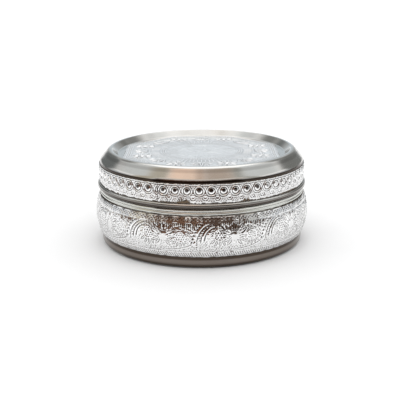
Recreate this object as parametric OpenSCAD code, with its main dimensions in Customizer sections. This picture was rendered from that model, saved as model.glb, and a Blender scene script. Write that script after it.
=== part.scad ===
// Round push-on lid box in stainless steel, clad with embossed silver foil.
// Every sheet part is a path, drawn once, that is given its thickness and turned round the Z axis.
// A path runs so that the outside of the box is on its right-hand side.

/* [Sheet and foil] */
// Thickness of the steel sheet
sheet_t = 0.5; // [0.3:0.05:0.55]
// Thickness of the adhesive under the foil
glue_t = 0.15; // [0.1:0.05:0.2]
// Thickness of the foil with its embossing
foil_t = 0.3; // [0.2:0.05:0.4]
// Width of the lap where a foil band closes on itself
lap_w = 2.6; // [1:0.1:6]

/* [Body] */
// Radius of the steel body at its widest
belly_r = 41.6; // [41.3:0.1:42]
// Height of the widest place
belly_z = 12.4; // [11.8:0.1:13]
// Radius of the belly's upright curve
belly_bow = 19; // [18:0.5:21]
// Radius of the plain band at the foot of the body
foot_r = 39.8; // [39.6:0.1:40]
// Radius of the rounded bottom corner
foot_corner = 1.8; // [1:0.1:3.2]
// How far the middle of the base is raised off the standing ring
base_lift = 1; // [0.6:0.1:1.5]
// Height at which the belly foil starts
belly_foil_z0 = 4.6; // [4.6:0.05:6]
// Height at which the belly foil ends
belly_foil_z1 = 19.8; // [17:0.1:19.8]
// Outer radius of the two beads on the shoulder
bead_r = 40.25; // [40.2:0.05:40.4]
// Outer radius of the neck that the lid slides over
neck_r = 39.3; // [39.1:0.05:39.35]
// Height of the hemmed edge of the neck
neck_top = 31; // [28:0.5:32]

/* [Lid] */
// Outer radius of the lid's steel skirt
skirt_r = 40; // [40:0.05:40.1]
// Width over the curled edge, from inside to outside
curl_w = 1.5; // [1.4:0.05:1.6]
// Height of the curled edge
curl_h = 1.95; // [1.8:0.05:2.2]
// Height of the curled edge's underside above the table
curl_z = 22.45; // [22.4:0.05:22.8]
// Height at which the lid's foil band starts
band_z0 = 24.55; // [24.5:0.05:26]
// Height at which the lid's foil band ends
band_z1 = 31.6; // [29:0.1:31.6]
// Slope of the chamfer round the top, in degrees
chamfer_slope = 49.4; // [45:0.2:52]
// Radius of the crest, the highest circle of the lid
crest_r = 35.35; // [35.35:0.05:35.6]
// Height of the crest
crest_z = 36.9; // [36.6:0.1:37.5]
// Depth of the dish in the lid's top
dish_depth = 2.15; // [1.6:0.05:2.15]
// Slope of the dish's rim, in degrees
dish_slope = 42; // [42:1:55]
// Distance from the middle of the top foil to its flat sides
top_foil_apothem = 30; // [26:0.1:30]

/* [Hidden] */
$fn = 180;

steel = "silver";
dull_steel = "darkgray";
foil = "gainsboro";
glue = "saddlebrown";

// Angles, seen from above and counted from +X, of the two laps
lid_lap_at = 249;
belly_lap_at = 112;

// Standing ring: the middle of the base bends down to it through two arcs
ring_r = 36.4;
ring_round = 1;
lift_round = 0.8;
lift_slope = 45;
lift_r = ring_r - slope_run(base_lift, lift_slope, ring_round + lift_round);
corner_r = foot_r - foot_corner;

// Fillet between the upright foot band and the belly
belly_centre = [belly_r - belly_bow, belly_z];
foot_fillet = 1;
fillet_dx = foot_r + foot_fillet - belly_centre.x;
fillet_dz = sqrt(pow(belly_bow + foot_fillet, 2) - pow(fillet_dx, 2));
fillet_centre = belly_centre + [fillet_dx, -fillet_dz];
belly_start = -atan2(fillet_dz, fillet_dx);
// Angles that the foil always leaves clear above the fillet, and below the shoulder
clear_below = 0.2;
clear_above = 0.4;
belly_foil_start = max(asin((belly_foil_z0 - belly_z) / belly_bow), belly_start + clear_below);
belly_foil_end = asin((belly_foil_z1 - belly_z) / belly_bow);
belly_end = belly_foil_end + clear_above;
belly_end_point = belly_centre + belly_bow * [cos(belly_end), sin(belly_end)];

// Two shoulder beads with a groove between them
bead_round = 0.6;
groove_round = 0.25;
// Where the lower bead's round begins, and how far short of each bead the groove's round stops, in degrees
bead_start = -40;
groove_trim = 8;
bead_low_z = 20.55;
bead_high_z = 21.75;
groove_turn = asin((bead_high_z - bead_low_z) / 2 / (bead_round + groove_round));
bead_x = bead_r - bead_round;
groove_centre = [bead_x + (bead_round + groove_round) * cos(groove_turn), (bead_low_z + bead_high_z) / 2];
neck_fillet = 0.25;
shoulder_z = bead_high_z + bead_round;

// Hem folded inwards at the neck's edge
hem_round = 0.6;
hem_drop = 1.4;

// Curled edge of the lid: the sheet turns outwards round a small hollow
curl_hollow = curl_w / 2 - sheet_t;
curl_x = skirt_r + curl_hollow;
curl_low_z = curl_z + curl_w / 2;
curl_high_z = curl_z + curl_h - curl_w / 2;
curl_end = 100;

// Chamfer, crest and dish of the lid: the crest is a broad round outside and a tight one over the dish
crest_round = 2.2;
brink_round = 0.6;
brink_step = 7; // degrees past the top at which the tight round has its first point
dish_round = 0.6;
dish_z = crest_z - dish_depth;
crest_centre = [crest_r, crest_z - crest_round];
chamfer_normal = 90 - chamfer_slope;
chamfer_top = crest_centre + crest_round * [cos(chamfer_normal), sin(chamfer_normal)];
skirt_meets_z = chamfer_top.y - (skirt_r - chamfer_top.x) * tan(chamfer_slope);
// The rounded corner over the skirt keeps clear of the foil band
band_clear = 0.13;
skirt_corner_max = 2.5;
skirt_corner = min(skirt_corner_max, (skirt_meets_z - band_z1 - band_clear) / tan(chamfer_normal / 2));
skirt_corner_z = skirt_meets_z - skirt_corner * tan(chamfer_normal / 2);
dish_r = crest_r - slope_run(dish_depth, dish_slope, brink_round + dish_round);

// Distance along the level between the centres of two arcs that a straight slope joins.
// The slope falls by drop, and rounds is the sum of the two radii.
function slope_run(drop, slope, rounds) = drop / tan(slope) + rounds * tan(slope / 2);

// Points along an arc round centre c, from angle a0 to angle a1
function arc(c, r, a0, a1, n = 6) = [
    for (i = [0:n]) let (a = a0 + (a1 - a0) * i / n) c + r * [cos(a), sin(a)]
];

function unit(v) = v / norm(v);
function heading_in(path, i) = unit(path[max(i, 1)] - path[max(i, 1) - 1]);
function heading_out(path, i) = unit(path[min(i, len(path) - 2) + 1] - path[min(i, len(path) - 2)]);

// The path moved sideways by d, to its right-hand side, with every stretch staying parallel
function shifted(path, d) = [
    for (i = [0:len(path) - 1])
        let (
            after = heading_out(path, i),
            mean = unit(heading_in(path, i) + after)
        )
        path[i] + d / (mean * after) * [mean.y, -mean.x]
];

function reversed(path) = [for (i = [len(path) - 1:-1:0]) path[i]];

// The body's outer face, from the middle of its base out, up the belly and over the hem
belly_foil_path = arc(belly_centre, belly_bow, belly_foil_start, belly_foil_end, 14);
body_path = concat(
    [[0, base_lift]],
    arc([lift_r, base_lift - lift_round], lift_round, 90, 90 - lift_slope),
    arc([ring_r, ring_round], ring_round, 270 - lift_slope, 270),
    arc([corner_r, foot_corner], foot_corner, 270, 360, 12),
    arc(fillet_centre, foot_fillet, 180, 180 + belly_start, 4),
    belly_foil_path,
    [belly_end_point],
    arc([bead_x, bead_low_z], bead_round, bead_start, groove_turn, 10),
    arc(groove_centre, groove_round, 180 + groove_turn - groove_trim, 180 - groove_turn + groove_trim),
    arc([bead_x, bead_high_z], bead_round, -groove_turn, 90, 12),
    arc([neck_r + neck_fillet, shoulder_z + neck_fillet], neck_fillet, 270, 180),
    arc([neck_r - hem_round, neck_top - hem_round], hem_round, 0, 180, 12),
    [[neck_r - 2 * hem_round, neck_top - hem_round - hem_drop]]
);

// The lid's outer face, from the cut end of the curl up the skirt and in to the middle of the top
band_path = [[skirt_r, band_z0], [skirt_r, band_z1]];
lid_path = concat(
    arc([curl_x, curl_high_z], curl_hollow, curl_end, 0),
    arc([curl_x, curl_low_z], curl_hollow, 0, -180, 12),
    band_path,
    arc([skirt_r - skirt_corner, skirt_corner_z], skirt_corner, 0, chamfer_normal),
    arc(crest_centre, crest_round, chamfer_normal, 90, 12),
    arc([crest_r, crest_z - brink_round], brink_round, 90 + brink_step, 90 + dish_slope),
    arc([dish_r, dish_z + dish_round], dish_round, 270 + dish_slope, 270),
    [[0, dish_z]]
);

// Cross-section of a sheet that lies between two distances from a path
module sheet_section(path, d0, d1) {
    polygon(concat(shifted(path, d0), reversed(shifted(path, d1))));
}

module turned_sheet(path, d0, d1) {
    rotate_extrude() sheet_section(path, d0, d1);
}

// A foil band: a ring, with a second thickness over the lap where the strip closes
module foil_band(path, r, lap_at) {
    lap = lap_w / r * 180 / PI;
    turned_sheet(path, glue_t, glue_t + foil_t);
    rotate([0, 0, lap_at - lap / 2])
        rotate_extrude(angle = lap) sheet_section(path, glue_t + foil_t / 2, glue_t + 2 * foil_t);
}

// A flat eight-sided sheet, a flat side towards -Y, on the floor of the lid's dish
module octagon_sheet(z, t) {
    translate([0, 0, z])
        rotate([0, 0, 180 / 8])
            linear_extrude(t) circle(r = top_foil_apothem / cos(180 / 8), $fn = 8);
}

// Pressed steel cup with a bowed belly, two shoulder beads and a hemmed neck
module body_shell() {
    color(dull_steel) turned_sheet(body_path, -sheet_t, 0);
}

module belly_adhesive() {
    color(glue) turned_sheet(belly_foil_path, 0, glue_t);
}

module belly_foil() {
    color(foil) foil_band(belly_foil_path, belly_r, belly_lap_at);
}

// Pressed steel lid with a dished top, a chamfer, an upright skirt and a curled edge
module lid_shell() {
    color(steel) turned_sheet(lid_path, -sheet_t, 0);
}

module lid_band_adhesive() {
    color(glue) turned_sheet(band_path, 0, glue_t);
}

module lid_band_foil() {
    color(foil) foil_band(band_path, skirt_r, lid_lap_at);
}

module lid_top_adhesive() {
    color(glue) octagon_sheet(dish_z, glue_t);
}

module lid_top_foil() {
    color(foil) octagon_sheet(dish_z + glue_t, foil_t);
}

body_shell();
belly_adhesive();
belly_foil();
lid_shell();
lid_band_adhesive();
lid_band_foil();
lid_top_adhesive();
lid_top_foil();
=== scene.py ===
"""Looks of the foil-clad steel box: embossed foil, turned steel, studio light and camera."""

import math

import bpy
import numpy as np
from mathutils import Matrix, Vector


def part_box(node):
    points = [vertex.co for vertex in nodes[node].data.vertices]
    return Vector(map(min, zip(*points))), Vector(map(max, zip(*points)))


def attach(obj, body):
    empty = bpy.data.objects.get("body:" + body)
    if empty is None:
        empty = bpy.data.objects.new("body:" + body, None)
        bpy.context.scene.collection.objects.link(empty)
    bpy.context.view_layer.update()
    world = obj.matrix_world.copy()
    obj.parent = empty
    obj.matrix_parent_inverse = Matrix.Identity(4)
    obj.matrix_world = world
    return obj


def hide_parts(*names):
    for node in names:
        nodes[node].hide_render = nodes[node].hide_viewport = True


MM = 0.001

# ---------------------------------------------------------------- camera

# Lengths are in metres, but the lens and the sensor are in millimetres
CAMERA_DISTANCE = 0.3138
CAMERA_HEIGHT = 0.1018
CAMERA_SIDE = -0.00012
CAMERA_NEAREST = 0.01
CAMERA_PITCH = math.radians(15.50)
CAMERA_ROLL = math.radians(0.36)
CAMERA_LENS = 72.97
CAMERA_SENSOR = 36.0


def add_camera():
    """Camera in front of the box, looking along +Y and down."""
    data = bpy.data.cameras.new("camera")
    data.lens = CAMERA_LENS
    data.sensor_width = CAMERA_SENSOR
    data.clip_start = CAMERA_NEAREST
    camera = bpy.data.objects.new("camera", data)
    camera.location = (CAMERA_SIDE, -CAMERA_DISTANCE, CAMERA_HEIGHT)
    camera.rotation_euler = (math.pi / 2 - CAMERA_PITCH, CAMERA_ROLL, 0)
    bpy.context.scene.collection.objects.link(camera)
    bpy.context.scene.camera = camera


add_camera()
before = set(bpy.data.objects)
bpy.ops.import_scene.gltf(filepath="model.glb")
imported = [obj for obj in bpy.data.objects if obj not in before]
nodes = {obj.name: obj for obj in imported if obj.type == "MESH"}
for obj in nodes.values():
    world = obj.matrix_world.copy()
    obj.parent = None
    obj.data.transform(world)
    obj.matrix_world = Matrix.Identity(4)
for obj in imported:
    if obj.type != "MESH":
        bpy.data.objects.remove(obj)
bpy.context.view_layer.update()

# ---------------------------------------------------------------- node helpers


def put(tree, kind, inputs=None, **properties):
    """Adds a shader node. inputs maps socket names or numbers to sockets or values."""
    node = tree.nodes.new(kind)
    for key, value in properties.items():
        setattr(node, key, value)
    for key, value in (inputs or {}).items():
        if isinstance(value, bpy.types.NodeSocket):
            tree.links.new(value, node.inputs[key])
        else:
            node.inputs[key].default_value = value
    return node


def calc(tree, operation, a, b=0.0, c=0.0):
    """A math node's result. Some operations read only a, or only a and b."""
    return put(tree, "ShaderNodeMath", {0: a, 1: b, 2: c}, operation=operation).outputs[0]


def step(tree, value, low, high):
    """Rises smoothly from 0 at low to 1 at high."""
    inputs = {"Value": value, "From Min": low, "From Max": high}
    return put(tree, "ShaderNodeMapRange", inputs, interpolation_type="SMOOTHSTEP").outputs[0]


def mix_colour(tree, share, a, b):
    """Colour a where share is 0, and b where it is 1."""
    node = put(tree, "ShaderNodeMix", data_type="RGBA")
    for socket, value in ((0, share), (6, a), (7, b)):
        if isinstance(value, bpy.types.NodeSocket):
            tree.links.new(value, node.inputs[socket])
        else:
            node.inputs[socket].default_value = value if socket == 0 else (*value, 1.0)
    return node.outputs[2]


def noise(tree, vector, scale, detail=3.0, roughness=0.55):
    """Noise from 0 to 1 over a vector socket."""
    inputs = {"Vector": vector, "Scale": scale, "Detail": detail, "Roughness": roughness}
    return put(tree, "ShaderNodeTexNoise", inputs).outputs["Fac"]


# ---------------------------------------------------------------- studio

WHITE = (1.0, 1.0, 1.0)
PLAIN_STRENGTH = 1.28
MIRRORED_STRENGTH = 1.45
FLOOR_LIGHT = (0.88, 0.88, 0.88)
FLOOR_DARK = (0.865, 0.866, 0.87)
# In metres: how far the floor goes to either side and back, and its front edge, just outside the view
FLOOR_HALF = 12.0
FLOOR_FRONT = -0.16

# Windows that only mirror rays see, in degrees. azimuth counts from -Y, the front, and is positive towards
# +X, and away is the same without its sign. Each row has its angle's kind, low, high and softness, then its
# bottom, top and softness in elevation, and its colour. Later rows lie over earlier ones.
MIRRORED_WINDOWS = (
    ("away", 110, 200, 12, 52, 84, 6, (1.35, 1.36, 1.36)),
    ("away", 160, 200, 8, 3, 40, 8, (0.46, 0.51, 0.545)),
    ("away", 150, 167, 5, -2, 24, 5, (0.36, 0.375, 0.38)),
    ("away", 62, 126, 8, -6, 20, 5, (0.42, 0.435, 0.45)),
    ("azimuth", -121, -82, 6, 30, 65, 6, (0.62, 0.645, 0.65)),
    ("azimuth", 71, 113, 6, 30, 65, 6, (0.62, 0.645, 0.65)),
    ("away", 114, 128, 5, 50, 60, 5, (0.60, 0.61, 0.62)),
    ("away", 118, 158, 8, 28, 47, 7, (0.22, 0.225, 0.22)),
    ("azimuth", -158, -123, 5, -4, 29, 4, (0.13, 0.14, 0.14)),
    ("azimuth", 115, 156, 5, -4, 32, 4, (0.17, 0.175, 0.17)),
    ("azimuth", -84, -58, 5, 0, 75, 6, (0.44, 0.40, 0.33)),
    ("azimuth", 55, 71, 4, 0, 75, 6, (0.34, 0.34, 0.31)),
    ("azimuth", -58, -10, 4, 55, 77, 4, (0.90, 0.67, 0.53)),
    ("azimuth", -12, 8, 5, 55, 77, 4, (0.56, 0.42, 0.33)),
    ("azimuth", 8, 57, 5, 55, 77, 4, (0.46, 0.375, 0.31)),
    ("azimuth", -58, 57, 5, 33, 55, 3, (0.60, 0.55, 0.51)),
    ("azimuth", 42, 62, 4, -6, 33, 4, (0.40, 0.40, 0.39)),
    ("azimuth", -56, 46, 4, -10, 36, 3, (0.05, 0.03, 0.02)),
    ("azimuth", -44, 2, 6, -10, 34, 3, (0.11, 0.055, 0.03)),
)


def add_world():
    """White studio, even and plain for the camera and the floor. Mirror rays also see tinted windows."""
    world = bpy.data.worlds.new("studio")
    bpy.context.scene.world = world
    world.use_nodes = True
    tree = world.node_tree
    tree.nodes.clear()
    direction = put(tree, "ShaderNodeTexCoord").outputs["Generated"]
    x, y, z = put(tree, "ShaderNodeSeparateXYZ", {0: direction}).outputs
    azimuth = calc(tree, "DEGREES", calc(tree, "ARCTAN2", x, calc(tree, "MULTIPLY", y, -1.0)))
    elevation = calc(tree, "DEGREES", calc(tree, "ARCSINE", z))
    angles = {"azimuth": azimuth, "away": calc(tree, "ABSOLUTE", azimuth)}

    def window(value, low, high, soft):
        """1 between low and high, and 0 outside them, with edges that are soft wide on either side."""
        rise = step(tree, value, low - soft, low + soft)
        fall = step(tree, value, high + soft, high - soft)
        return calc(tree, "MULTIPLY", rise, fall)

    colour = WHITE
    for along, low, high, soft, bottom, top, upright, tint in MIRRORED_WINDOWS:
        across = window(angles[along], low, high, soft)
        share = calc(tree, "MULTIPLY", across, window(elevation, bottom, top, upright))
        colour = mix_colour(tree, share, colour, tint)
    plain = put(tree, "ShaderNodeBackground", {"Color": (*WHITE, 1.0), "Strength": PLAIN_STRENGTH})
    mirrored = put(tree, "ShaderNodeBackground", {"Color": colour, "Strength": MIRRORED_STRENGTH})
    is_glossy = put(tree, "ShaderNodeLightPath").outputs["Is Glossy Ray"]
    both = put(tree, "ShaderNodeMixShader", {0: is_glossy, 1: plain.outputs[0], 2: mirrored.outputs[0]})
    put(tree, "ShaderNodeOutputWorld", {"Surface": both.outputs[0]})


def add_floor():
    """Pale table, larger than the view. Past its front edge the metal mirrors the room."""
    mesh = bpy.data.meshes.new("floor")
    front = [(-FLOOR_HALF, FLOOR_FRONT, 0), (FLOOR_HALF, FLOOR_FRONT, 0)]
    corners = front + [(FLOOR_HALF, FLOOR_HALF, 0), (-FLOOR_HALF, FLOOR_HALF, 0)]
    mesh.from_pydata(corners, [], [(0, 1, 2, 3)])
    floor = bpy.data.objects.new("floor", mesh)
    bpy.context.scene.collection.objects.link(floor)
    material = bpy.data.materials.new("floor_paper")
    material.use_nodes = True
    tree = material.node_tree
    shader = tree.nodes["Principled BSDF"]
    place = put(tree, "ShaderNodeTexCoord").outputs["Object"]
    colour = mix_colour(tree, noise(tree, place, 60.0), FLOOR_DARK, FLOOR_LIGHT)
    tree.links.new(colour, shader.inputs["Base Color"])
    shader.inputs["Roughness"].default_value = 0.9
    shader.inputs["Specular IOR Level"].default_value = 0.1
    mesh.materials.append(material)


bpy.context.scene.view_settings.view_transform = "Standard"
add_world()
add_floor()

# ---------------------------------------------------------------- materials

RINGS_PER_METRE = 5200.0
# Painted shade for the steel's crevices, grooves and dark corners
PAINTED_SHADE = (0.032, 0.020, 0.012)
# A darker brown for the foot band
FOOT_BROWN = (0.135, 0.1, 0.08)
# A painted darker reflection for the upper part of the chamfer
DARKER_REFLECTION = (0.3, 0.29, 0.275)

# Bands of painted shade, of a painted darker reflection and of a darker brown foot: lowest and highest
# height, how far the band fades out, how much it hides, the radius that it lies outside of, and its colour.
# Lengths are in millimetres.
LID_PAINTED_SHADE = (
    # The lid's rolled lower edge and the crevice under it: painted shade
    (21.0, 23.2, 0.4, 0.9, 39.7, PAINTED_SHADE),
    (23.2, 23.9, 0.2, 0.6, 39.7, PAINTED_SHADE),
    # The corner between the chamfer and the band: painted shade
    (31.3, 32.4, 0.3, 0.95, 39.8, PAINTED_SHADE),
    # The upper part of the chamfer: a painted darker reflection
    (35.3, 35.7, 0.6, 0.5, 36.5, DARKER_REFLECTION),
)
BODY_SHADE_AND_FOOT_BANDS = (
    # The foot band: coloured a darker brown
    (0.0, 4.4, 0.3, 0.86, 39.5, FOOT_BROWN),
    # The bottom corner, down to the floor: painted shade
    (-1.0, 0.9, 1.4, 0.85, 37.0, PAINTED_SHADE),
    # Under the lower edge of the belly foil: painted shade
    (3.6, 5.0, 0.6, 0.8, 39.5, PAINTED_SHADE),
    # Along the upper edge of the belly foil, under the beads: painted shadow
    (19.4, 20.0, 0.2, 0.7, 39.7, PAINTED_SHADE),
    # The groove between the two beads: painted shade
    (21.18, 21.28, 0.08, 0.7, 39.7, PAINTED_SHADE),
    # The crevice under the lid's edge: painted shade
    (22.2, 22.6, 0.15, 0.85, 39.3, PAINTED_SHADE),
)


def metal(name, colour, roughness, anisotropy):
    """A metallic material with its plain settings, and its node tree and shader."""
    material = bpy.data.materials.new(name)
    material.use_nodes = True
    tree = material.node_tree
    shader = tree.nodes["Principled BSDF"]
    shader.inputs["Metallic"].default_value = 1.0
    shader.inputs["Base Color"].default_value = (*colour, 1.0)
    shader.inputs["Roughness"].default_value = roughness
    shader.inputs["Anisotropic"].default_value = anisotropy
    shader.inputs["Anisotropic Rotation"].default_value = 0.25
    return material, tree, shader


def turned_steel(name, bright, dull, roughness, shade_bands):
    """Steel polished on a lathe: fine rings round the axis, dull patches, and bands of colour by height
    that paint shade, a darker reflection and a brown foot.
    """
    material, tree, shader = metal(name, bright, roughness, 0.5)
    place = put(tree, "ShaderNodeTexCoord").outputs["Object"]
    x, y, z = put(tree, "ShaderNodeSeparateXYZ", {0: place}).outputs
    squares = calc(tree, "ADD", calc(tree, "MULTIPLY", x, x), calc(tree, "MULTIPLY", y, y))
    radius = calc(tree, "SQRT", squares)
    turn = calc(tree, "ARCTAN2", y, x)
    stretched = {
        0: calc(tree, "MULTIPLY", radius, RINGS_PER_METRE),
        1: calc(tree, "MULTIPLY", z, RINGS_PER_METRE),
        2: calc(tree, "MULTIPLY", turn, 3.0),
    }
    fine = noise(tree, put(tree, "ShaderNodeCombineXYZ", stretched).outputs[0], 1.0, 4.0, 0.6)
    broad = noise(tree, place, 55.0, 4.0)
    patches = step(tree, broad, 0.35, 0.7)
    colour = mix_colour(tree, calc(tree, "MULTIPLY", patches, 0.55), bright, dull)
    # Each band paints shade, a darker reflection or the brown foot into the colour, by height and radius
    for low, high, fade, share, inmost, tint in shade_bands:
        rise = step(tree, z, (low - fade) * MM, low * MM)
        fall = step(tree, z, (high + fade) * MM, high * MM)
        beyond = step(tree, radius, (inmost - 0.1) * MM, inmost * MM)
        at_height = calc(tree, "MULTIPLY", rise, fall)
        shaded = calc(tree, "MULTIPLY", at_height, calc(tree, "MULTIPLY", beyond, share))
        colour = mix_colour(tree, shaded, colour, tint)
    tree.links.new(colour, shader.inputs["Base Color"])
    spread = calc(tree, "MULTIPLY_ADD", fine, 0.08, roughness - 0.04)
    spread = calc(tree, "ADD", spread, calc(tree, "MULTIPLY", patches, 0.06))
    tree.links.new(spread, shader.inputs["Roughness"])
    bump = put(tree, "ShaderNodeBump", {"Height": fine, "Strength": 0.25, "Distance": 0.00002})
    tree.links.new(bump.outputs[0], shader.inputs["Normal"])
    around = put(tree, "ShaderNodeTangent", direction_type="RADIAL", axis="Z")
    tree.links.new(around.outputs[0], shader.inputs["Tangent"])
    return material


def embossed_foil(name, haze):
    """Thin silver foil, with a painted highlight on its ridges, painted shade and tarnish in its hollows,
    and fine crinkles.

    haze is the share of its light that a worn, milky surface scatters all round.
    """
    material, tree, shader = metal(name, (0.8, 0.8, 0.8), 0.14, 0.0)
    shader.inputs["Metallic"].default_value = 1.0 - haze
    place = put(tree, "ShaderNodeTexCoord").outputs["Object"]
    tone = put(tree, "ShaderNodeAttribute", attribute_name="tone").outputs["Fac"]
    crinkle = noise(tree, place, 900.0, 5.0, 0.6)
    broad = noise(tree, place, 120.0, 3.0)
    flat = mix_colour(tree, step(tree, broad, 0.4, 0.75), (0.82, 0.82, 0.82), (0.72, 0.715, 0.71))
    # Painted highlight on the ridges, and painted shade with tarnish in the hollows, from the tone
    # attribute
    raised = mix_colour(tree, step(tree, tone, 0.5, 0.85), flat, (0.98, 0.98, 0.98))
    colour = mix_colour(tree, step(tree, tone, 0.46, 0.05), raised, (0.09, 0.08, 0.075))
    tree.links.new(colour, shader.inputs["Base Color"])
    spread = calc(tree, "MULTIPLY_ADD", crinkle, 0.16, 0.05)
    tree.links.new(spread, shader.inputs["Roughness"])
    bump = put(tree, "ShaderNodeBump", {"Height": crinkle, "Strength": 0.45, "Distance": 0.00008})
    tree.links.new(bump.outputs[0], shader.inputs["Normal"])
    return material


def old_adhesive():
    """Brown contact adhesive, darker where it has caught dirt."""
    material = bpy.data.materials.new("adhesive")
    material.use_nodes = True
    tree = material.node_tree
    shader = tree.nodes["Principled BSDF"]
    place = put(tree, "ShaderNodeTexCoord").outputs["Object"]
    dirt = noise(tree, place, 700.0, 4.0)
    colour = mix_colour(tree, step(tree, dirt, 0.35, 0.65), (0.03, 0.02, 0.012), (0.13, 0.085, 0.045))
    tree.links.new(colour, shader.inputs["Base Color"])
    shader.inputs["Roughness"].default_value = 0.5
    bump = put(tree, "ShaderNodeBump", {"Height": dirt, "Strength": 0.6, "Distance": 0.0001})
    tree.links.new(bump.outputs[0], shader.inputs["Normal"])
    return material


LID_STEEL = turned_steel("polished_steel", (0.58, 0.57, 0.55), (0.50, 0.485, 0.46), 0.13, LID_PAINTED_SHADE)
BODY_STEEL = turned_steel("dull_steel", (0.68, 0.685, 0.65), (0.56, 0.56, 0.52), 0.12, BODY_SHADE_AND_FOOT_BANDS)
BAND_FOIL = embossed_foil("silver_foil", 0.0)
TOP_FOIL = embossed_foil("hazy_silver_foil", 0.45)
ADHESIVE = old_adhesive()


def dress_cad_node(name, material):
    """Gives a CAD node its material, and one smooth skin over its narrow turned faces."""
    obj = nodes[name]
    obj.data.materials.clear()
    obj.data.materials.append(material)
    weld = obj.modifiers.new("weld", "WELD")
    weld.merge_threshold = 0.002 * MM
    obj.modifiers.new("normals", "WEIGHTED_NORMAL")


dress_cad_node("lid_shell", LID_STEEL)
dress_cad_node("body_shell", BODY_STEEL)
for name in ("belly_adhesive", "lid_band_adhesive", "lid_top_adhesive"):
    dress_cad_node(name, ADHESIVE)

# ---------------------------------------------------------------- relief
# Foil patterns are height fields in millimetres. u runs round the box and v up it, in millimetres.

# How far a foil without relief stands out from its adhesive
FOIL_SHEET = 0.06
# Radii at which u is measured, round the belly and round the lid
BELLY_RADIUS_OUT = 41.9
LID_GLUE_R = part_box("lid_band_adhesive")[1].x / MM
# How far off the tone compares a place with its surroundings, and how strongly
TONE_REACH = 0.42
TONE_GAIN = 4.5


def soft(value, low, high):
    """Rises smoothly from 0 at low to 1 at high."""
    t = np.clip((value - low) / (high - low), 0.0, 1.0)
    return t * t * (3.0 - 2.0 * t)


def ridge(distance, width):
    """A raised line: 1 on it, and nearly nothing two widths away."""
    return np.exp(-((distance / width) ** 2))


def dome(distance, radius):
    """A round boss of height 1."""
    return np.sqrt(np.clip(1.0 - (distance / radius) ** 2, 0.0, 1.0))


def repeat(value, period):
    """Distance, with its sign, from the nearest multiple of period."""
    return (value / period + 0.5) % 1.0 * period - period / 2.0


def inside(distance, edge=0.12):
    """1 where the distance is negative and 0 where it is positive, with a soft edge."""
    return 1.0 - soft(distance, -edge, edge)


def turned(x, y, degrees):
    """Coordinates in axes turned by that angle."""
    a = math.radians(degrees)
    return x * math.cos(a) + y * math.sin(a), y * math.cos(a) - x * math.sin(a)


def moved_out(x, y, distance, degrees):
    """Coordinates counted from the point at that distance and heading from the origin."""
    a = math.radians(degrees)
    return x - distance * math.cos(a), y - distance * math.sin(a)


def ripples(angle, v, seed, turns, waves, count=26):
    """Smooth uneven waves, about 1 high.

    turns is the range of their numbers round the box, and waves that of their phase in radians per mm of v.
    """
    rng = np.random.default_rng(seed)
    total = np.zeros(np.broadcast(angle, v).shape)
    for _ in range(count):
        k = int(rng.integers(turns[0], turns[1]))
        total += np.cos(k * angle + rng.uniform(*waves) * v + rng.uniform(0, 2 * math.pi))
    return total / math.sqrt(count / 2.0)


def leaf(x, y, length, width, degrees, bend=0.0):
    """A raised pointed leaf from the origin, with a midrib groove and a rim."""
    a, b = turned(x, y, degrees)
    b = b - bend * a * (length - a) / length
    t = np.clip(a / length, 0.0, 1.0)
    half = width * np.sin(math.pi * t ** 0.8) ** 0.9
    gap = np.abs(b) - half
    body = inside(gap, 0.1) * (a > 0) * (a < length)
    return body * (0.55 + 0.45 * ridge(gap, 0.16) - 0.5 * ridge(b, 0.1))


def dotted(x, y, pitch, radius):
    """Small bosses on a triangular grid."""
    row = np.round(y / (pitch * 0.866))
    across = repeat(x + 0.5 * pitch * (row % 2), pitch)
    return dome(np.hypot(across, y - row * pitch * 0.866), radius)


def tone_of(relief, u, v):
    """How far a relief stands proud of what is round it: 0 in a pit, a half on the flat, 1 on a ridge."""
    directions = np.arange(8) * math.pi / 4
    around = sum(relief(u + TONE_REACH * math.cos(a), v + TONE_REACH * math.sin(a)) for a in directions) / 8
    return np.clip(0.5 + (relief(u, v) - around) * TONE_GAIN, 0.0, 1.0)


def foliage(u, v, seed, line):
    """Fine curling lines, as of engraved leaves and tendrils, closed round the box."""
    field = ripples(u / BELLY_RADIUS_OUT, v, seed, (50, 150), (-2.6, 2.6), 18)
    return ridge(repeat(field, 0.75), line)


# ---------------------------------------------------------------- lid band

RING_PITCH = 4.32
RING_HEIGHT = 4.5
BOSS_RADIUS = 1.1
# Degrees from the lap to the middle of the stretch near the front where the bosses' painted reflection is
# darkest
DARKEST_REFLECTION_AT = 18.0


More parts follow.
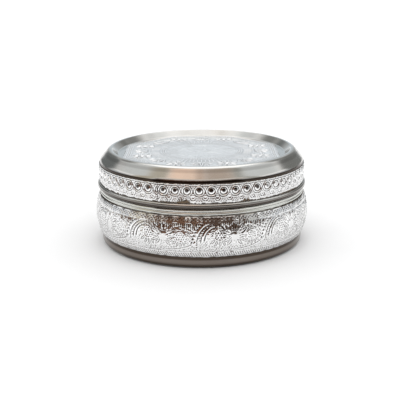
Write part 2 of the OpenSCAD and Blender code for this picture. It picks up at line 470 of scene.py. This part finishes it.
def lid_band_relief(u, v):
    """Row of ringed bosses, interlaced arcs over and under them, a beaded line and a plain strip."""
    x = repeat(u - RING_PITCH / 2, RING_PITCH)
    y = v - RING_HEIGHT
    r = np.hypot(x, y)
    dented = soft(ripples(u / LID_GLUE_R, v, 54, (12, 90), (-0.8, 0.8)), -1.6, 0.2)
    height = (0.18 + 0.16 * dented) * dome(r, BOSS_RADIUS) + 0.22 * ridge(r - 1.66, 0.17)
    height += 0.06 * ridge(r - 2.22, 0.1)
    height -= 0.16 * ridge(r - 1.3, 0.12) + 0.14 * ridge(r - 2.0, 0.11)
    gap_x = repeat(u, RING_PITCH)
    clear = soft(r, 2.15, 2.4)
    for side in (-1, 1):
        arcs = np.hypot(gap_x, y - side * 2.35)
        height += clear * (0.1 * ridge(arcs - 1.3, 0.14) + 0.05 * ridge(arcs - 0.72, 0.14))
        height -= clear * 0.08 * ridge(arcs - 1.02, 0.1)
    chevron = np.abs(gap_x) - (v - 1.55)
    height += 0.08 * clear * ridge(chevron, 0.13) * soft(v, 1.5, 1.7)
    edge_lines = 0.12 * ridge(v - 6.75, 0.15) - 0.16 * ridge(v - 6.42, 0.13)
    height += edge_lines + 0.08 * ridge(v - 1.62, 0.12)
    height += 0.12 * dome(np.hypot(repeat(u, RING_PITCH / 5), v - 1.12), 0.27)
    height += 0.08 * ridge(v - 0.62, 0.12)
    return height


def lid_band_darkening(u, v):
    """Painted dark reflection in the bosses, strongest near the front, dirt with painted shade along the
    edges, and a painted shadow along the lap.
    """
    boss = np.hypot(repeat(u - RING_PITCH / 2, RING_PITCH), v - RING_HEIGHT - 0.3)
    dirt = soft(ripples(u / LID_GLUE_R, v, 51, (20, 120), (-2, 2)), 0.1, 0.9)
    # A painted shadow along the lap
    seam = ridge(repeat(u, 2 * math.pi * LID_GLUE_R), 0.16)
    # Dirt with painted shade along both edges
    edges = (1 - soft(v, 0.1, 0.7)) + 0.8 * soft(v, 6.5, 7.0)
    # Painted dark reflection in the bosses, strongest near the front
    front_reflection = 0.3 + 0.45 * soft(np.cos(u / LID_GLUE_R - math.radians(DARKEST_REFLECTION_AT)), 0.68, 0.88)
    return front_reflection * inside(boss - 0.74, 0.15) + 0.6 * dirt * edges + 0.7 * seam


# ---------------------------------------------------------------- belly band

# The pattern is one unit, repeated round the box, with its palmette that far from its middle
UNIT_COUNT = 10
UNIT_WIDTH = 2 * math.pi * BELLY_RADIUS_OUT / UNIT_COUNT
PALMETTE_AT = 12.0
# The bow engraved under each palmette is part of an ellipse
OUTLINE_HALF_WIDTH = 12.3
OUTLINE_DEPTH = 4.9


def shell_flower(x, y, sweep):
    """A dotted disc with petals under it, and arcs and rows of dots that sweep over it to its left."""
    r = np.hypot(x, y)
    turn = np.degrees(np.arctan2(y, x)) % 360.0
    height = -0.34 * dotted(x, y, 1.0, 0.34) * inside(r - 1.8) + 0.16 * ridge(r - 2.15, 0.16)
    spread = np.exp(0.0075 * np.clip(turn - 90.0, -60.0, 115.0))
    swept = r / spread
    shown = sweep * soft(turn, 25, 45) * (1 - soft(turn, 192, 206))
    grooves = sum(ridge(swept - radius, 0.17) for radius in (2.55, 3.2, 3.85))
    bands = sum(ridge(swept - radius, 0.15) for radius in (2.9, 3.52, 4.2))
    beads = sum(dome(np.hypot(swept - radius, repeat(turn, 7.5) * 0.07), 0.22) for radius in (3.52, 4.75))
    height += (0.16 * bands - 0.42 * grooves - 0.34 * beads) * shown
    for a in (222, 246, 270, 294, 318, 342):
        px, py = moved_out(x, y, 2.3, a)
        height = height - 0.34 * leaf(px, py, 2.4, 0.5, a, 0.2)
    return height


def palmette(x, y):
    """Sunk narrow leaves that fan out from a smooth heart, over an engraved bow with a row of dots."""
    r = np.hypot(x, y)
    height = 0.16 * dome(r, 1.5)
    for a, length in ((150, 3.8), (128, 4.6), (108, 5.4), (90, 5.8), (72, 5.4), (52, 4.6), (30, 3.8)):
        px, py = moved_out(x, y, 1.7, a)
        height = height - 0.5 * leaf(px, py, length, 0.7, a, 0.2) + 0.1 * leaf(px, py, length, 1.0, a, 0.2)
    for a, length in ((178, 3.0), (203, 3.2), (228, 2.8), (312, 2.8), (337, 3.2), (2, 3.0)):
        px, py = moved_out(x, y, 1.7, a)
        height = height - 0.4 * leaf(px, py, length, 0.54, a, -0.2)
    outline = (np.hypot(x / OUTLINE_HALF_WIDTH, y / OUTLINE_DEPTH) - 1.0) * OUTLINE_DEPTH
    shown = soft(x, -1.0, 1.0) * soft(-y, -4.0, -3.0)
    height -= 0.14 * ridge(outline, 0.12) * shown
    height += 0.06 * ridge(outline - 0.36, 0.16) * shown
    height -= 0.2 * dome(np.hypot(outline + 0.8, repeat(x + 0.8 * y, 1.1)), 0.22) * shown
    return height


def belly_relief(u, v):
    """Dotted flowers under swept arcs, palmettes, fine foliage, a comb, and a border above and below."""
    x = repeat(u, UNIT_WIDTH)
    fan_x = repeat(x - PALMETTE_AT, UNIT_WIDTH)
    near = shell_flower(x - 6.4, v - 9.0, 1.0)
    far = shell_flower((x + 7.8) * 1.15, (v - 8.2) * 1.15, 0.15)
    motif = near + 0.9 * far * (1 - soft(np.abs(near), 0.02, 0.08))
    fan = palmette(fan_x, v - 8.2)
    motif = motif * (1 - 0.85 * soft(np.abs(fan), 0.03, 0.1)) + fan
    field = soft(v, 2.5, 3.0) * (1 - soft(v, 12.7, 13.1))
    ground = np.clip(1 - 7 * np.abs(motif), 0, 1)
    raised_lines = 0.15 * ground * foliage(u, v, 41, 0.15)
    sunk_lines = 0.12 * ground * foliage(u, v, 42, 0.12)
    height = field * (motif + raised_lines - sunk_lines)
    worn = 0.45 + 0.55 * soft(ripples(u / BELLY_RADIUS_OUT, v, 43, (8, 70), (-1, 1)), -0.6, 0.7)
    comb_foot = 11.3 + 0.8 * np.cos(2 * math.pi * 3 * u / UNIT_WIDTH)
    above_foot = soft(v, comb_foot, comb_foot + 0.3)
    under_border = 1 - soft(v, 13.0, 13.3)
    strokes = ridge(repeat(u, UNIT_WIDTH / 36), 0.17) * above_foot * under_border
    height += 0.26 * strokes - 0.08 * above_foot * under_border
    height += 0.16 * worn * ridge(v - 13.55, 0.14)
    rings = np.hypot(repeat(u, UNIT_WIDTH / 18), v - 14.45)
    height += worn * (0.2 * ridge(rings - 0.5, 0.15) - 0.22 * ridge(rings, 0.2))
    height += 0.1 * ridge(v - 15.3, 0.13)
    hatch = repeat(u + 0.6 * v, UNIT_WIDTH / 30)
    height += 0.2 * ridge(hatch, 0.18) * soft(v, 0.7, 0.9) * (1 - soft(v, 1.9, 2.1))
    height += 0.2 * ridge(v - 2.25, 0.14) + 0.14 * ridge(v - 0.5, 0.13)
    return height


def belly_darkening(u, v):
    """Dirt with painted shade under the beads and along the lower edge, and a painted shadow along the lap.
    """
    dirt = soft(ripples(u / BELLY_RADIUS_OUT, v, 52, (15, 110), (-2, 2)), -0.3, 0.9)
    # Dirt with painted shade under the beads and along the lower edge
    edges = 0.35 * soft(v, 14.2, 15.4) + 0.55 * (1 - soft(v, 0.2, 1.1))
    # A painted shadow along the lap
    seam = ridge(repeat(u, 2 * math.pi * BELLY_RADIUS_OUT), 0.3)
    return edges * (0.4 + 0.6 * dirt) + 0.55 * seam


# ---------------------------------------------------------------- top foil

# Radius of the medallion, and how deep the whole pattern is pressed compared with its drawing
MEDALLION = 16.0
TOP_DEPTH = 0.5
# Leaves of the rosette: how many, where they start, their length and width, and their turn as a share
# of the angle between two of them
ROSETTE = ((12, 2.6, 10.6, 1.5, 0.25), (12, 5.5, 8.0, 0.9, 0.75), (8, 0.6, 2.6, 0.8, 0.25))
TOP_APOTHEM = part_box("lid_top_foil")[1].x / MM
TOP_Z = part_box("lid_top_adhesive")[1].z / MM


def top_edge(x, y):
    """Distance in from the eight-sided outline."""
    normals = [math.radians(45 * i) for i in range(8)]
    return TOP_APOTHEM - np.max([x * math.cos(a) + y * math.sin(a) for a in normals], axis=0)


def top_relief(x, y):
    """Medallion with a rosette, a fluted ring round it, flowers towards the corners and a beaded border."""
    edge = top_edge(x, y)
    r = np.hypot(x, y)
    turn = np.arctan2(y, x)
    height = 0.24 * (ridge(r - MEDALLION, 0.22) + ridge(r - MEDALLION + 1.7, 0.18))
    beads = np.hypot(r - MEDALLION + 0.85, repeat(turn, 2 * math.pi / 96) * (MEDALLION - 0.85))
    height += 0.24 * dome(beads, 0.42)
    flutes = ridge(repeat(turn, 2 * math.pi / 80) * r, 0.22)
    scallop = 20.2 + 0.6 * np.abs(np.cos(20 * turn))
    height += 0.24 * flutes * soft(r, 16.6, 17.0) * (1 - soft(r, scallop - 0.6, scallop - 0.2))
    height += 0.24 * ridge(r - scallop, 0.2)
    for count, start, length, width, shift in ROSETTE:
        sector = repeat(turn - shift * 2 * math.pi / count, 2 * math.pi / count)
        px, py = r * np.cos(sector) - start, r * np.sin(sector)
        height = np.maximum(height, 0.17 * leaf(px, py, length, width, 0.0))
    sector = repeat(turn - math.pi / 8, math.pi / 4)
    cx, cy = r * np.cos(sector) - 24.6, r * np.sin(sector)
    flower = np.hypot(cx, cy)
    outside = soft(r, 20.6, 21.2) * soft(edge, 2.6, 3.0)
    bloom = 0.5 * dome(flower, 0.8) + 0.36 * ridge(flower - 1.25, 0.16)
    for a in range(0, 360, 45):
        px, py = turned(cx, cy, a)
        bloom = np.maximum(bloom, 0.5 * leaf(px - 1.5, py, 2.4, 0.7, 0.0))
    height += bloom * outside * (flower < 4.2)
    mid = repeat(turn, math.pi / 4)
    mx, my = r * np.cos(mid) - 21.6, r * np.sin(mid)
    for a, length in ((0, 5.2), (32, 5.0), (-32, 5.0), (62, 4.6), (-62, 4.6)):
        height = np.maximum(height, 0.5 * leaf(mx, my, length, 0.7, a, 0.15 * np.sign(a)) * outside)
    ground = np.clip(1 - 8 * height, 0, 1) * soft(edge, 2.6, 3.0)
    height += 0.06 * ground * dotted(x, y, 0.95, 0.28)
    height += 0.22 * (ridge(edge - 0.9, 0.18) + ridge(edge - 2.4, 0.18))
    height += 0.22 * dome(np.hypot(edge - 1.65, repeat(my, 1.2)), 0.42)
    return TOP_DEPTH * height


# ---------------------------------------------------------------- foil meshes

# Degrees between two faces from which their edge stays sharp
SHARP_EDGE = 62
# How much higher the upper layer of a lap is, and how wide the lap is
LAP_STEP = 0.2
LAP_WIDTH = 2.6
# The least height of a foil's face over its adhesive
LEAST_LIFT = 0.02


def add_piece(name, points, faces, tones, material, body, node):
    """A smooth-shaded foil mesh in millimetres, that stands for a CAD node and rides on its body."""
    mesh = bpy.data.meshes.new(name)
    mesh.from_pydata(np.asarray(points) * MM, [], faces)
    mesh.attributes.new("tone", "FLOAT", "POINT").data.foreach_set("value", tones)
    mesh.materials.append(material)
    mesh.shade_smooth()
    mesh.set_sharp_from_angle(angle=math.radians(SHARP_EDGE))
    piece = bpy.data.objects.new(name, mesh)
    bpy.context.scene.collection.objects.link(piece)
    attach(piece, body)
    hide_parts(node)


def ring_faces(outer_rows, inner_rows, columns):
    """Faces of a closed skin round the axis: outer rows, then inner rows, each of that many columns."""
    here = np.arange(columns)
    after = (here + 1) % columns

    def strip(low, high):
        return np.stack([low + here, low + after, high + after, high + here], axis=1)

    inner = outer_rows * columns
    strips = [strip(i * columns, (i + 1) * columns) for i in range(outer_rows - 1)]
    strips += [strip(inner + (i + 1) * columns, inner + i * columns) for i in range(inner_rows - 1)]
    strips.append(strip(inner, 0))
    strips.append(strip((outer_rows - 1) * columns, inner + (inner_rows - 1) * columns))
    return np.concatenate(strips).tolist()


def foil_ring(name, body, node, columns, rows, inner_rows, place, relief, darkening, radius, lap_at, low, high):
    """A foil band. place(out, v) gives radius and height, darkening how much dirt and painted shade darken
    it, low and high its edges.
    """
    angle = np.arange(columns) / columns * 2 * math.pi
    u = angle * radius
    v = low(angle) + (high(angle) - low(angle)) * np.linspace(0, 1, rows)[:, None]
    u = np.broadcast_to(u, v.shape)
    lift = relief(u, v) + FOIL_SHEET
    lap = LAP_STEP * (1 - soft(u, LAP_WIDTH - 0.1, LAP_WIDTH + 2.0))
    wrinkle = 0.035 * ripples(angle, v, 5, (10, 70), (-1.5, 1.5))
    out = np.maximum(lift + lap + wrinkle, LEAST_LIFT)
    turn = angle + math.radians(lap_at)
    outer_r, outer_z = place(out, v)
    v_in = v[np.linspace(0, rows - 1, inner_rows).round().astype(int)]
    inner_r, inner_z = place(np.zeros_like(v_in), v_in)
    rings = []
    for r, z in ((outer_r, outer_z), (inner_r, inner_z)):
        rings.append(np.stack([r * np.cos(turn), r * np.sin(turn), z], axis=-1).reshape(-1, 3))
    shade = np.clip(tone_of(relief, u, v) - darkening(u, v), 0.0, 1.0)
    tones = np.concatenate([shade.ravel(), np.full(inner_rows * columns, 0.5)])
    faces = ring_faces(rows, inner_rows, columns)
    add_piece(name, np.concatenate(rings), faces, tones, BAND_FOIL, body, node)


# The lid's band: straight, on its adhesive, with a few tears in the lower edge
LID_BAND_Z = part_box("lid_band_adhesive")[0].z / MM
LID_BAND_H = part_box("lid_band_adhesive")[1].z / MM - LID_BAND_Z
# Degrees from +X, seen from above, at which the upper layer of the lap is cut off
LID_LAP_AT = 247.2
# Tears in the lower edge: degrees from the lap, half width in degrees and depth
LID_TEARS = ((13.5, 3.8, 1.15), (46.0, 2.4, 0.8), (5.0, 5.0, 0.35), (75.0, 12.0, 0.3), (200, 4.0, 0.7))


def lid_band_place(out, v):
    """Radius and height of the points at v that stand out that far from the adhesive."""
    return LID_GLUE_R + out, LID_BAND_Z + v


def tear(angle, centre, width, depth):
    """A bite out of an edge at an angle in degrees from the lap."""
    off = (np.degrees(angle) - centre + 180.0) % 360.0 - 180.0
    return depth * soft(-np.abs(off), -width, -0.55 * width)


def lid_band_low(angle):
    """The rough and torn lower edge."""
    ragged = 0.16 + 0.07 * ripples(angle, 0.0, 11, (20, 260), (0, 1), 40)
    bites = sum(tear(angle, *bite) for bite in LID_TEARS)
    rough = 1.0 + 0.5 * ripples(angle, 0.0, 13, (240, 560), (0, 1))
    return np.clip(ragged + bites * rough, 0.0, 1.6)


def lid_band_high(angle):
    """The uneven upper edge."""
    ragged = 0.1 + 0.05 * ripples(angle, 0.0, 12, (15, 200), (0, 1), 40)
    return LID_BAND_H - np.clip(ragged, 0.0, 0.4)


foil_ring(
    name="lid_band_embossed", body="lid", node="lid_band_foil", columns=1800, rows=50, inner_rows=2,
    place=lid_band_place, relief=lid_band_relief, darkening=lid_band_darkening, radius=LID_GLUE_R,
    lap_at=LID_LAP_AT, low=lid_band_low, high=lid_band_high,
)

# The belly's band: wrapped over the bow of the body, whose steel and adhesive have these radii in section
STEEL_BOW = 19.0
BELLY_BOW = 19.15
BELLY_MIDDLE_Z = 12.4
BELLY_LOW_Z = 4.6
BELLY_HIGH_Z = 19.8
BELLY_BOW_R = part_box("belly_adhesive")[1].x / MM - BELLY_BOW
BELLY_LOW_ANGLE = math.asin((BELLY_LOW_Z - BELLY_MIDDLE_Z) / STEEL_BOW)
BELLY_HIGH_ANGLE = math.asin((BELLY_HIGH_Z - BELLY_MIDDLE_Z) / STEEL_BOW)
BELLY_ARC = (BELLY_HIGH_ANGLE - BELLY_LOW_ANGLE) * BELLY_BOW
# Degrees from +X, seen from above, at which the upper layer of the lap is cut off
BELLY_LAP_AT = 110.0


def belly_place(out, v):
    """Radius and height of the points at v that stand out that far from the adhesive."""
    lean = BELLY_LOW_ANGLE + v / BELLY_BOW
    bow = BELLY_BOW + out
    return BELLY_BOW_R + bow * np.cos(lean), BELLY_MIDDLE_Z + bow * np.sin(lean)


def belly_pattern(u, v):
    """The belly's relief, turned so that a unit's middle is at the front."""
    at_front = math.radians(270.0 - BELLY_LAP_AT) * BELLY_RADIUS_OUT
    return belly_relief(u - at_front, v)


def belly_cut(angle, seed):
    """How far inside the adhesive's edge the foil is cut."""
    return np.clip(0.12 + 0.06 * ripples(angle, 0.0, seed, (20, 240), (0, 1), 40), 0.0, 0.5)


def belly_low(angle):
    """The uneven lower edge."""
    return belly_cut(angle, 21)


def belly_high(angle):
    """The uneven upper edge."""
    return BELLY_ARC - belly_cut(angle, 22)


foil_ring(
    name="belly_embossed", body="box_body", node="belly_foil", columns=1224, rows=71, inner_rows=9,
    place=belly_place, relief=belly_pattern, darkening=belly_darkening, radius=BELLY_RADIUS_OUT,
    lap_at=BELLY_LAP_AT, low=belly_low, high=belly_high,
)

# The top foil: eight-sided, one flat side towards the front
TOP_RINGS = 145


def octagon_points(rings):
    """Points on nested octagons round a middle point, with 8 k points on ring k."""
    points = [np.zeros((1, 2))]
    headings = [math.radians(22.5 + 45 * i) for i in range(9)]
    corners = [np.array([math.cos(a), math.sin(a)]) for a in headings]
    for k in range(1, rings + 1):
        size = TOP_APOTHEM / math.cos(math.pi / 8) * k / rings
        t = np.arange(k)[:, None] / k
        points += [size * (corners[i] * (1 - t) + corners[i + 1] * t) for i in range(8)]
    return np.concatenate(points)


def octagon_faces(rings):
    """Triangles between the nested octagons of octagon_points."""
    faces = []
    for k in range(rings):
        first = 1 + 4 * k * (k - 1) if k else 0
        after = 1 + 4 * (k + 1) * k
        inner_count = max(8 * k, 1)
        outer_count = 8 * (k + 1)
        outer = np.arange(outer_count)
        side, i = np.divmod(outer, k + 1)
        low = first + (side * k + i) % inner_count
        faces.append(np.stack([low, after + outer, after + (outer + 1) % outer_count], 1))
        if k:
            side, i = np.divmod(np.arange(8 * k), k)
            here = side * k + i
            high = after + (side * (k + 1) + i + 1) % outer_count
            faces.append(np.stack([first + here, high, first + (here + 1) % inner_count], 1))
    return np.concatenate(faces)


def top_foil():
    """The embossed top foil, with its uneven cut edge, its rim down to the adhesive and its underside."""
    flat = octagon_points(TOP_RINGS)
    x, y = flat[:, 0], flat[:, 1]
    angle = np.arctan2(y, x)
    cut = 1 - 0.004 * np.clip(1.0 + ripples(angle, 0.0, 31, (6, 90), (0, 1), 40), 0, 3)
    waves = 0.04 * ripples(x / 9.0, y / 9.0, 33, (-9, 9), (-9, 9), 40)
    height = FOIL_SHEET + top_relief(x, y) + waves * soft(top_edge(x, y), 0.0, 3.0)
    top = np.stack([x * cut, y * cut, TOP_Z + np.maximum(height, LEAST_LIFT)], axis=1)
    rim_first = 1 + 4 * TOP_RINGS * (TOP_RINGS - 1)
    rim = np.arange(rim_first, len(top))
    under = np.column_stack([top[rim, 0], top[rim, 1], np.full(len(rim), TOP_Z)])
    centre = np.array([[0.0, 0.0, TOP_Z]])
    low = len(top) + np.arange(len(rim))
    low_next, rim_next = np.roll(low, -1), np.roll(rim, -1)
    middle = np.full(len(rim), len(top) + len(rim))
    faces = octagon_faces(TOP_RINGS).tolist()
    faces += np.stack([low, low_next, rim_next, rim], 1).tolist()
    faces += np.stack([middle, low_next, low], 1).tolist()
    tones = np.concatenate([tone_of(top_relief, x, y) - 0.12, np.full(len(rim) + 1, 0.5)])
    points = np.concatenate([top, under, centre])
    add_piece("lid_top_embossed", points, faces, tones, TOP_FOIL, "lid", "lid_top_foil")


top_foil()

# ---------------------------------------------------------------- finish

bpy.context.view_layer.update()
